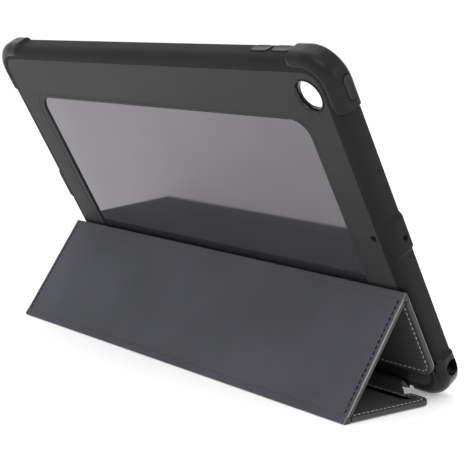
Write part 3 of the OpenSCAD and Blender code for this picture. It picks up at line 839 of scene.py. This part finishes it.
def stitchTree():
    tree = bpy.data.node_groups.new("stitchRow", "GeometryNodeTree")
    face = tree.interface
    face.new_socket("Geometry", in_out="INPUT", socket_type="NodeSocketGeometry")
    for label in ("Pitch", "Length", "Width", "Height"):
        face.new_socket(label, in_out="INPUT", socket_type="NodeSocketFloat")
    face.new_socket("Facing", in_out="INPUT", socket_type="NodeSocketVector")
    face.new_socket("Thread", in_out="INPUT", socket_type="NodeSocketMaterial")
    face.new_socket("Geometry", in_out="OUTPUT", socket_type="NodeSocketGeometry")
    nodes, link = tree.nodes, tree.links.new
    given = nodes.new("NodeGroupInput").outputs
    toCurve = nodes.new("GeometryNodeMeshToCurve")
    link(given["Geometry"], toCurve.inputs["Mesh"])
    spread = nodes.new("GeometryNodeResampleCurve")
    spread.mode = "LENGTH"
    link(toCurve.outputs["Curve"], spread.inputs["Curve"])
    link(given["Pitch"], spread.inputs["Length"])
    tangent = nodes.new("GeometryNodeInputTangent")
    alongX = nodes.new("FunctionNodeAlignRotationToVector")
    alongX.axis = "X"
    link(tangent.outputs["Tangent"], alongX.inputs["Vector"])
    faceUp = nodes.new("FunctionNodeAlignRotationToVector")
    faceUp.axis, faceUp.pivot_axis = "Z", "X"
    link(alongX.outputs["Rotation"], faceUp.inputs["Rotation"])
    link(given["Facing"], faceUp.inputs["Vector"])
    ball = nodes.new("GeometryNodeMeshUVSphere")
    ball.inputs["Segments"].default_value, ball.inputs["Rings"].default_value = 8, 5
    ball.inputs["Radius"].default_value = 0.5
    lay = nodes.new("ShaderNodeCombineXYZ")
    for label, axis in (("Length", "X"), ("Width", "Y"), ("Height", "Z")):
        link(given[label], lay.inputs[axis])
    place = nodes.new("GeometryNodeInstanceOnPoints")
    link(spread.outputs["Curve"], place.inputs["Points"])
    link(ball.outputs["Mesh"], place.inputs["Instance"])
    link(faceUp.outputs["Rotation"], place.inputs["Rotation"])
    link(lay.outputs["Vector"], place.inputs["Scale"])
    real = nodes.new("GeometryNodeRealizeInstances")
    link(place.outputs["Instances"], real.inputs["Geometry"])
    dye = nodes.new("GeometryNodeSetMaterial")
    link(real.outputs["Geometry"], dye.inputs["Geometry"])
    link(given["Thread"], dye.inputs["Material"])
    link(dye.outputs["Geometry"], nodes.new("NodeGroupOutput").inputs["Geometry"])
    return tree


rowTree = stitchTree()
rowInputs = {s.name: s.identifier for s in rowTree.interface.items_tree if s.in_out == "INPUT"}


def sewRows(name, rows, facing, tone, body):
    verts, edges = [], []
    for row in rows:
        start = len(verts)
        verts += [tuple(p) for p in row]
        edges += [(start + i, start + i + 1) for i in range(len(row) - 1)]
    mesh = bpy.data.meshes.new(name)
    mesh.from_pydata(verts, edges, [])
    piece = bpy.data.objects.new(name, mesh)
    scene.collection.objects.link(piece)
    mod = piece.modifiers.new("stitches", "NODES")
    mod.node_group = rowTree
    for key, value in stitches[tone].items():
        mod[rowInputs[key]] = value * mm
    mod[rowInputs["Facing"]] = tuple(facing)
    mod[rowInputs["Thread"]] = paleThread if tone == "pale" else darkThread
    bpy.context.view_layer.update()
    sewn = bpy.data.meshes.new_from_object(piece.evaluated_get(bpy.context.evaluated_depsgraph_get()))
    piece.modifiers.clear()
    piece.data = sewn
    sewn.name = name
    bpy.data.meshes.remove(mesh)
    sewn.shade_smooth()
    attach(piece, body)


def stitchLine(label, n):
    # round the free sides of a panel, 3 mm in from its edge
    p, i = panels[label], cover["stitchInset"]
    x1 = cover["length"] / 2 - i
    r = max(cover["corner"] - i, 1.0)
    lo = cover["leatherGap"][p["ends"][0]] + 1.0
    hi = p["pitch"] - (i if p["free"][1] else cover["leatherGap"][p["ends"][1]] + 1.0)

    def run(points):
        return [onFold(p["axis"], p["angle"], x, d, n) for x, d in points]

    if p["free"][0]:   # open towards the fold at its far side, and round the ears
        edge = cover["leatherGap"][p["ends"][0]]
        half = nearSide(edge + i, cover["length"] / 2 - i, cover["corner"] - i, i, cover["ear"]) + [(x1, hi)]
        return [run([(-x, y) for x, y in half[::-1]] + half[1:])]
    if p["free"][1]:
        return [run([(-x1, lo)] + quarter(-x1 + r, hi - r, r, 180, -90, 8)
                    + quarter(x1 - r, hi - r, r, 90, -90, 8) + [(x1, lo)])]
    return [run([(-x1, lo), (-x1, hi)]), run([(x1, lo), (x1, hi)])]


for label, p in panels.items():
    top = Vector((0, -math.sin(p["angle"]), math.cos(p["angle"])))
    sewRows(f"{label}LeatherStitches", stitchLine(label, cover["half"] - 0.06), top, "pale", f"{label}_panel")
    sewRows(f"{label}LiningStitches", stitchLine(label, -cover["half"] + 0.16), -top, "dark",
            f"{label}_panel")
print("stitches sewn")

# boards and magnets keep their CAD shape, under the leather
for label in panels:
    node = frame["nodes"][f"{label}_board"]
    node.data.materials.clear()
    node.data.materials.append(stiffBoard)
for label in ("base", "end"):
    node = frame["nodes"][f"{label}_magnets"]
    node.data.materials.clear()
    node.data.materials.append(magnetPlate)


# floor, light and camera
def buildStudio():
    mat, nodes, links, shader, place = newFinish("floorPaper", (0.95, 0.95, 0.95), 0.9)
    links.new(span(nodes, links, noiseAt(nodes, links, place, 8, 3), 0.85, 0.95), shader.inputs["Roughness"])
    shader.inputs["Emission Color"].default_value = (1, 1, 1, 1)
    shader.inputs["Emission Strength"].default_value = 0.22
    size = 30.0
    mesh = bpy.data.meshes.new("floor")
    corners = [(-size, -size, 0), (size, -size, 0), (size, size, 0), (-size, size, 0)]
    mesh.from_pydata(corners, [], [(0, 1, 2, 3)])
    mesh.materials.append(mat)
    floor = bpy.data.objects.new("floor", mesh)
    floor.location.z = -0.0002
    scene.collection.objects.link(floor)
    world = bpy.data.worlds.new("studio")
    scene.world = world
    world.use_nodes = True
    back = world.node_tree.nodes["Background"]
    back.inputs["Color"].default_value = (1, 1, 1, 1)
    back.inputs["Strength"].default_value = 1.06
    lamps = [("keyLamp", (-0.6, 0.9, 1.1), 0.9, 3), ("sideLamp", (-1.3, -0.1, 0.7), 0.8, 1.5),
             ("topLamp", (0.3, 0.2, 1.4), 1.0, 2.5)]
    aim = Vector((0, 0.0, 0.07))
    for name, where, width, power in lamps:
        data = bpy.data.lights.new(name, "AREA")
        data.shape, data.size, data.energy = "SQUARE", width, power
        lamp = bpy.data.objects.new(name, data)
        lamp.location = where
        lamp.rotation_euler = (aim - Vector(where)).to_track_quat("-Z", "Y").to_euler()
        scene.collection.objects.link(lamp)


cameraView = dict(azimuth=228.572, elevation=7.767, roll=2.726, lens=92.15,
                  where=(-0.46402, 0.39343, 0.14818))


def buildCamera():
    az, el, roll = (math.radians(cameraView[k]) for k in ("azimuth", "elevation", "roll"))
    back = Vector((math.sin(az) * math.cos(el), -math.cos(az) * math.cos(el), math.sin(el)))
    right = (-back).cross(Vector((0, 0, 1))).normalized()
    up = right.cross(-back)
    r = right * math.cos(roll) + up * math.sin(roll)
    u = up * math.cos(roll) - right * math.sin(roll)
    data = bpy.data.cameras.new("camera")
    data.lens, data.sensor_width = cameraView["lens"], 36
    data.clip_start, data.clip_end = 0.01, 20
    cam = bpy.data.objects.new("camera", data)
    place = Matrix((r, u, back)).transposed().to_4x4()
    place.translation = Vector(cameraView["where"])
    cam.matrix_world = place
    scene.collection.objects.link(cam)
    scene.camera = cam


buildStudio()
buildCamera()
scene.view_settings.view_transform = "Standard"
